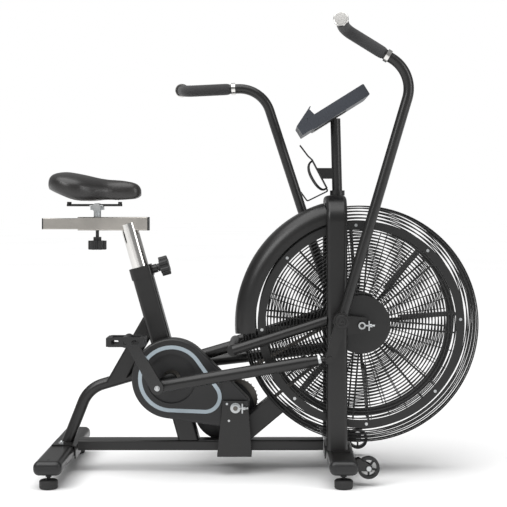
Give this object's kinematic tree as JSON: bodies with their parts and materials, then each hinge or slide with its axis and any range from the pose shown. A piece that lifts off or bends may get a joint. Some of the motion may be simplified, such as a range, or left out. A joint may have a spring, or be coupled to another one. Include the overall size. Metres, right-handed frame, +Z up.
{
  "type": "air bike",
  "caption": "Stationary air bike: pedals and swinging handles turn a caged paddle fan through chains, with an adjustable saddle.",
  "frame": {"origin": "on the floor below the middle of the whole bike", "axes": "+X forward towards the fan, +Y to the rider's left, +Z up"},
  "size_m": [1.291, 0.616, 1.3312],
  "materials": {
    "frame_paint": "satin black powder coat",
    "cage_paint": "satin black coated wire",
    "fan_paint": "dark grey paint",
    "crank_paint": "black paint",
    "chain_steel": "oiled steel",
    "zinc": "zinc plated",
    "brushed_stainless": "brushed",
    "chrome": "polished",
    "black_plastic": "fine grain",
    "stripe_plastic": "smooth",
    "console_plastic": "fine grain",
    "screen": "clear over dark display",
    "button_plastic": "smooth",
    "black_rubber": "moulded",
    "grip_foam": "closed cell foam",
    "saddle_leather": "grained synthetic leather"
  },
  "bodies": {
    "frame": {"base_rail": "frame_paint", "bottle_cage": "frame_paint", "cage_grille_left": "cage_paint", "cage_grille_right": "cage_paint", "cage_rim_wires": "cage_paint", "cage_strut": "frame_paint", "chain_guard": "black_plastic", "chain_tensioners": "zinc", "console_housing": "console_plastic", "console_screen": "screen", "drive_bracket": "frame_paint", "drive_chains": "chain_steel", "fan_axle": "frame_paint", "fan_chain_cover": "black_plastic", "fan_shroud": "frame_paint", "frame_bolts": "zinc", "front_stabiliser": "frame_paint", "guard_stripe": "stripe_plastic", "gusset_brace": "frame_paint", "mast": "frame_paint", "mounting_plates": "frame_paint", "rear_arch_tube": "frame_paint", "rear_stabiliser": "frame_paint", "seat_collar": "frame_paint", "seat_tube": "frame_paint", "shaft_bearings": "zinc", "stabiliser_end_caps": "black_plastic", "upper_fork": "frame_paint", "upright_frame": "frame_paint"},
    "crank": {"crankshaft": "crank_paint", "crank_arms": "crank_paint", "crank_sprocket": "chain_steel"},
    "jackshaft": {"jackshaft": "chain_steel"},
    "fan": {"fan_hub": "fan_paint", "fan_blades": "fan_paint"},
    "push_rod_right": {"push_rod_right": "frame_paint"},
    "push_rod_left": {"push_rod_left": "frame_paint"},
    "pedal_right": {"pedal_right": "black_plastic"},
    "pedal_left": {"pedal_left": "black_plastic"},
    "handle_right": {"handle_right": "frame_paint", "grip_right": "grip_foam", "handle_trim_right": "chrome"},
    "handle_left": {"handle_left": "frame_paint", "grip_left": "grip_foam", "handle_trim_left": "chrome"},
    "seat_post": {"seat_post": "chrome", "slider_sleeve": "brushed_stainless"},
    "saddle": {"slider_bar": "brushed_stainless", "saddle_clamp": "zinc", "saddle": "saddle_leather"},
    "seat_post_knob": {"seat_post_knob": "black_plastic"},
    "slider_knob": {"slider_knob": "black_plastic"},
    "wheel_right": {"transport_wheel_right": "black_plastic"},
    "wheel_left": {"transport_wheel_left": "black_plastic"},
    "foot_rear_right": {"levelling_foot_rear_right": "black_rubber"},
    "foot_rear_left": {"levelling_foot_rear_left": "black_rubber"},
    "foot_front_right": {"levelling_foot_front_right": "black_rubber"},
    "foot_front_left": {"levelling_foot_front_left": "black_rubber"},
    "button_right": {"console_button_right": "button_plastic"},
    "button_left": {"console_button_left": "button_plastic"}
  },
  "joints": [
    {"name": "fan_spin", "type": "hinge", "parent": "frame", "child": "fan", "pos_m": [0.2995, 0, 0.444], "axis": [0, 1, 0], "continuous": true},
    {"name": "crank_turn", "type": "hinge", "parent": "frame", "child": "crank", "pos_m": [-0.253, 0, 0.284], "axis": [0, 1, 0], "continuous": true},
    {"name": "jackshaft_spin", "type": "hinge", "parent": "frame", "child": "jackshaft", "pos_m": [-0.066, 0, 0.2], "axis": [0, 1, 0], "continuous": true},
    {"name": "push_rod_right_pivot", "type": "hinge", "parent": "crank", "child": "push_rod_right", "pos_m": [-0.28545, -0.176, 0.27089], "axis": [0, 1, 0], "continuous": true},
    {"name": "push_rod_left_pivot", "type": "hinge", "parent": "crank", "child": "push_rod_left", "pos_m": [-0.22055, 0.176, 0.29711], "axis": [0, 1, 0], "continuous": true},
    {"name": "pedal_right_spin", "type": "hinge", "parent": "crank", "child": "pedal_right", "pos_m": [-0.36587, -0.267, 0.41113], "axis": [0, 1, 0], "continuous": true},
    {"name": "pedal_left_spin", "type": "hinge", "parent": "crank", "child": "pedal_left", "pos_m": [-0.14013, 0.267, 0.15687], "axis": [0, 1, 0], "continuous": true},
    {"name": "handle_right_swing", "type": "hinge", "parent": "frame", "child": "handle_right", "pos_m": [0.237, -0.197, 0.463], "axis": [0, 1, 0], "range_deg": [-35, 0.45]},
    {"name": "handle_left_swing", "type": "hinge", "parent": "frame", "child": "handle_left", "pos_m": [0.237, 0.197, 0.463], "axis": [0, 1, 0], "range_deg": [-0.45, 35]},
    {"name": "seat_height", "type": "slide", "parent": "frame", "child": "seat_post", "axis": [-0.274, 0, 0.9617], "range_m": [-0.06, 0.12]},
    {"name": "saddle_fore_aft", "type": "slide", "parent": "seat_post", "child": "saddle", "axis": [1, 0, 0], "range_m": [-0.03, 0.08]},
    {"name": "seat_post_knob_turn", "type": "hinge", "parent": "frame", "child": "seat_post_knob", "pos_m": [-0.34872, 0, 0.5905], "axis": [0.9617, 0, 0.274], "continuous": true},
    {"name": "slider_knob_turn", "type": "hinge", "parent": "seat_post", "child": "slider_knob", "pos_m": [-0.482, 0, 0.68], "axis": [0, 0, 1], "continuous": true},
    {"name": "wheel_right_spin", "type": "hinge", "parent": "frame", "child": "wheel_right", "pos_m": [0.312, -0.235, 0.052], "axis": [0, 1, 0], "continuous": true},
    {"name": "wheel_left_spin", "type": "hinge", "parent": "frame", "child": "wheel_left", "pos_m": [0.312, 0.235, 0.052], "axis": [0, 1, 0], "continuous": true},
    {"name": "foot_rear_right_turn", "type": "hinge", "parent": "frame", "child": "foot_rear_right", "pos_m": [-0.583, -0.272, 0.02], "axis": [0, 0, 1], "continuous": true},
    {"name": "foot_rear_left_turn", "type": "hinge", "parent": "frame", "child": "foot_rear_left", "pos_m": [-0.583, 0.272, 0.02], "axis": [0, 0, 1], "continuous": true},
    {"name": "foot_front_right_turn", "type": "hinge", "parent": "frame", "child": "foot_front_right", "pos_m": [0.24, -0.272, 0.02], "axis": [0, 0, 1], "continuous": true},
    {"name": "foot_front_left_turn", "type": "hinge", "parent": "frame", "child": "foot_front_left", "pos_m": [0.24, 0.272, 0.02], "axis": [0, 0, 1], "continuous": true},
    {"name": "button_right_press", "type": "slide", "parent": "frame", "child": "button_right", "axis": [-0.5299, 0, 0.848], "range_m": [-0.0015, 0], "stiffness_N_per_m": 400},
    {"name": "button_left_press", "type": "slide", "parent": "frame", "child": "button_left", "axis": [-0.5299, 0, 0.848], "range_m": [-0.0015, 0], "stiffness_N_per_m": 400}
  ],
  "couplings": [
    {"joint": "crank_turn", "follows": "fan_spin", "ratio": 0.10098},
    {"joint": "jackshaft_spin", "follows": "fan_spin", "ratio": 0.3871},
    {"joint": "push_rod_right_pivot", "follows": "fan_spin", "ratio": -0.10098},
    {"joint": "push_rod_left_pivot", "follows": "fan_spin", "ratio": -0.10098},
    {"joint": "handle_left_swing", "follows": "handle_right_swing", "ratio": -1}
  ]
}
